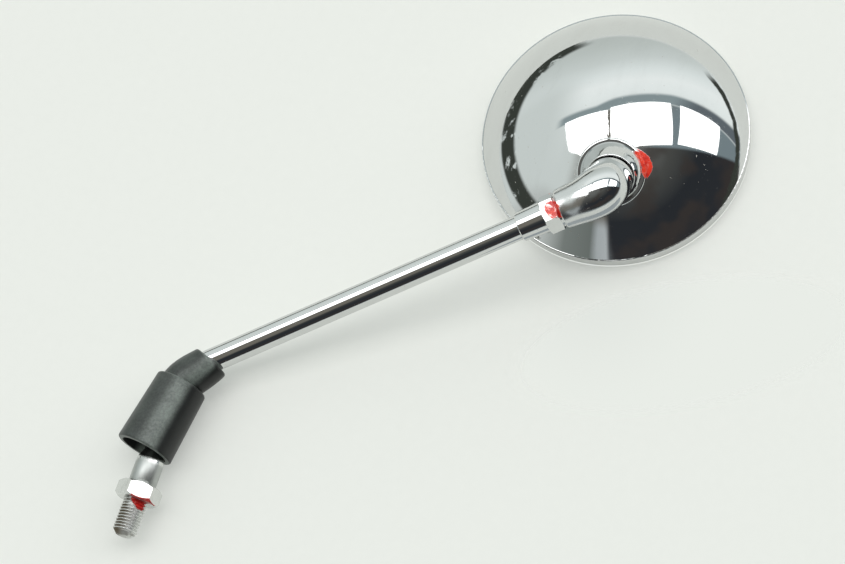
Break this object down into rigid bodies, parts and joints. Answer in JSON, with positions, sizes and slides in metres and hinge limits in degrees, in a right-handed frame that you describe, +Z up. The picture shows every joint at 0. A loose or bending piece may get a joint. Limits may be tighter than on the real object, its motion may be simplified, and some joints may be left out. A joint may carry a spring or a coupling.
{
  "type": "motorcycle mirror",
  "caption": "Round chrome rear-view mirror on a bent rod: domed shell with an inclined ball-joint boss, elbow, lock nuts, rubber boot and threaded base stud.",
  "frame": {"origin": "on the axis of the mounting thread, at the upper end of its free length, 0.1 mm under the base lock nut, where the lever bracket's face comes", "axes": "+Z up the mounting thread, -Y the way the glass faces (to the rider), +Y ahead, +X to the rider's right; the head is up and to the rider's left (-X)"},
  "size_m": [0.2087, 0.0507, 0.2727],
  "materials": {
    "chrome_plate": "polished plating",
    "zinc_plate": "dull zinc plating",
    "plain_steel": "plain turned steel",
    "boot_rubber": "matt moulded rubber",
    "foam": "foam tape",
    "nylon": "natural nylon",
    "mirror": "silvered convex glass"
  },
  "bodies": {
    "base": {"base_stud": "zinc_plate", "stem": "chrome_plate", "boot": "boot_rubber"},
    "base_nut": {"base_lock_nut": "zinc_plate"},
    "neck_nut": {"neck_lock_nut": "chrome_plate"},
    "elbow": {"elbow": "chrome_plate", "ball_stud": "plain_steel"},
    "seat": {"ball_seat": "nylon"},
    "cup": {"pressure_cup": "nylon"},
    "head": {"shell": "chrome_plate", "mirror_glass": "mirror", "glass_pad": "foam", "glass_gasket": "boot_rubber", "disc_spring": "plain_steel", "backing_washer": "plain_steel", "circlip": "plain_steel"}
  },
  "joints": [
    {"name": "base_nut_turn", "type": "hinge", "parent": "base", "child": "base_nut", "pos_m": [0, 0, 0.0034], "axis": [0, 0, 1], "continuous": true},
    {"name": "neck_nut_turn", "type": "hinge", "parent": "base", "child": "neck_nut", "pos_m": [-0.13462, 0.02812, 0.15351], "axis": [-0.7999, 0.1671, 0.5764], "continuous": true},
    {"name": "elbow_swivel", "type": "hinge", "parent": "base", "child": "elbow", "pos_m": [-0.13462, 0.02812, 0.15351], "axis": [-0.7999, 0.1671, 0.5764], "range_deg": [-90, 90]},
    {"name": "head_tilt", "type": "hinge", "parent": "elbow", "child": "seat", "pos_m": [-0.14627, 0.01678, 0.17873], "axis": [0.9426, 0, -0.3338], "range_deg": [-9, 9]},
    {"name": "head_pan", "type": "hinge", "parent": "seat", "child": "cup", "pos_m": [-0.14627, 0.01678, 0.17873], "axis": [0.2405, 0.6934, 0.6792], "range_deg": [-9, 9]},
    {"name": "head_turn", "type": "hinge", "parent": "cup", "child": "head", "pos_m": [-0.14627, 0.01678, 0.17873], "axis": [-0.2315, 0.7206, -0.6536], "continuous": true}
  ]
}
